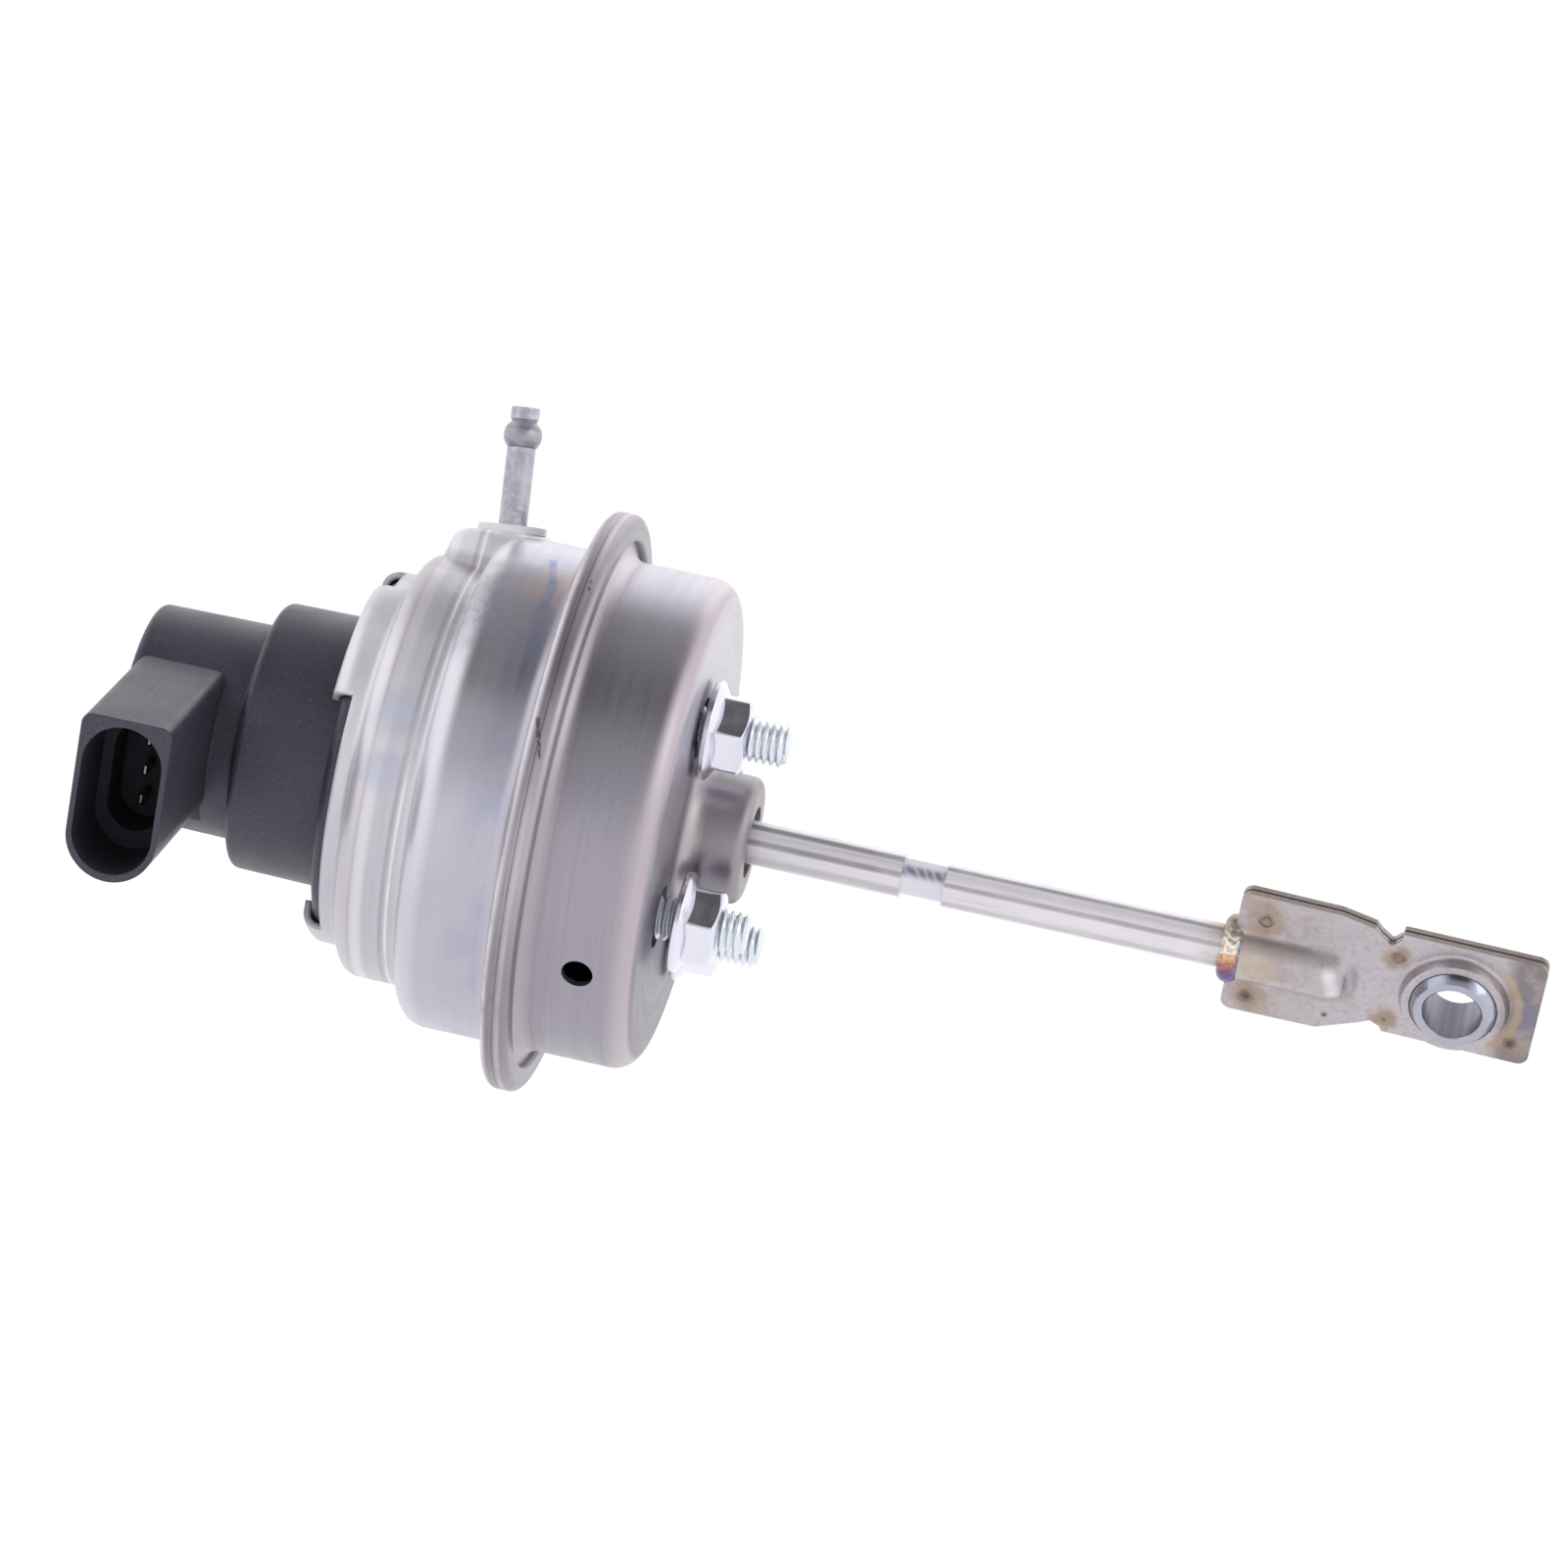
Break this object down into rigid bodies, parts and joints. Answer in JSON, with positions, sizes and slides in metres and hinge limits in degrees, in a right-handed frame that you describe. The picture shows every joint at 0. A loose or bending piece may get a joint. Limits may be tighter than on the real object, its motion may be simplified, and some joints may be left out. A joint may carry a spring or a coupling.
{
  "type": "wastegate actuator",
  "caption": "Vacuum wastegate actuator: sheet can with rolled rim and hose nipple, sprung rod with a ball-joint end, studs and nuts, and a rear position sensor with a plug socket",
  "frame": {"origin": "centre of the flat front face of the can, on the rod's axis", "axes": "+X along the rod towards the rod end, +Z along the side of the can that carries the vacuum nipple, -Y towards the side shown in the picture"},
  "size_m": [0.1964, 0.0822, 0.0924],
  "materials": {
    "front_can_steel": "satin stainless sheet, faintly warm",
    "rear_can_steel": "satin stainless sheet with drawing marks and faint heat tint",
    "nipple_steel": "dull turned steel",
    "inner_steel": "plain pressed steel",
    "zinc_stud": "bluish zinc plating",
    "zinc_nut": "bright bluish zinc plating",
    "bush_plastic": "dark bearing plastic",
    "rod_steel": "drawn stainless rod, brushed along its length",
    "diaphragm_rubber": "black fabric-backed rubber",
    "spring_steel": "spring wire",
    "pin_tin": "tinned blades",
    "housing_plastic": "black glass-filled plastic with fine grain",
    "seal_rubber": "black rubber ring",
    "board_laminate": "green laminate",
    "sensor_resin": "moulded chip body",
    "carrier_plastic": "natural moulded plastic",
    "magnet_metal": "nickel-plated magnet",
    "end_plate_steel": "stamped stainless with welding stains",
    "ball_steel": "polished bearing steel",
    "weld_steel": "weld bead with straw to violet heat tint"
  },
  "bodies": {
    "case": {"front_can": "front_can_steel", "rear_can": "rear_can_steel", "vacuum_nipple": "nipple_steel", "stud_plate": "inner_steel", "mounting_studs": "zinc_stud", "flange_nuts": "zinc_nut", "rod_bush": "bush_plastic", "spring_seat": "inner_steel", "sensor_housing": "housing_plastic", "housing_seal": "seal_rubber", "sensor_board": "board_laminate", "hall_sensor": "sensor_resin", "terminal_pins": "pin_tin", "return_spring": "spring_steel", "diaphragm": "diaphragm_rubber"},
    "rod": {"actuator_rod": "rod_steel", "piston_plate": "inner_steel", "piston_cup": "inner_steel", "piston_nut": "zinc_nut", "magnet_carrier": "carrier_plastic", "magnet": "magnet_metal", "rod_end_front_plate": "end_plate_steel", "rod_end_rear_plate": "end_plate_steel", "rod_weld": "weld_steel"},
    "ball": {"bearing_ball": "ball_steel"}
  },
  "joints": [
    {"name": "rod_slide", "type": "slide", "parent": "case", "child": "rod", "axis": [1, 0, 0], "range_m": [-0.012, 0], "stiffness_N_per_m": 11000, "springref_m": 0.0036, "deforming": ["return_spring", "diaphragm"]},
    {"name": "ball_turn", "type": "hinge", "parent": "rod", "child": "ball", "pos_m": [0.1069, 0, 0], "axis": [0, -0.7826, -0.6225], "continuous": true}
  ]
}
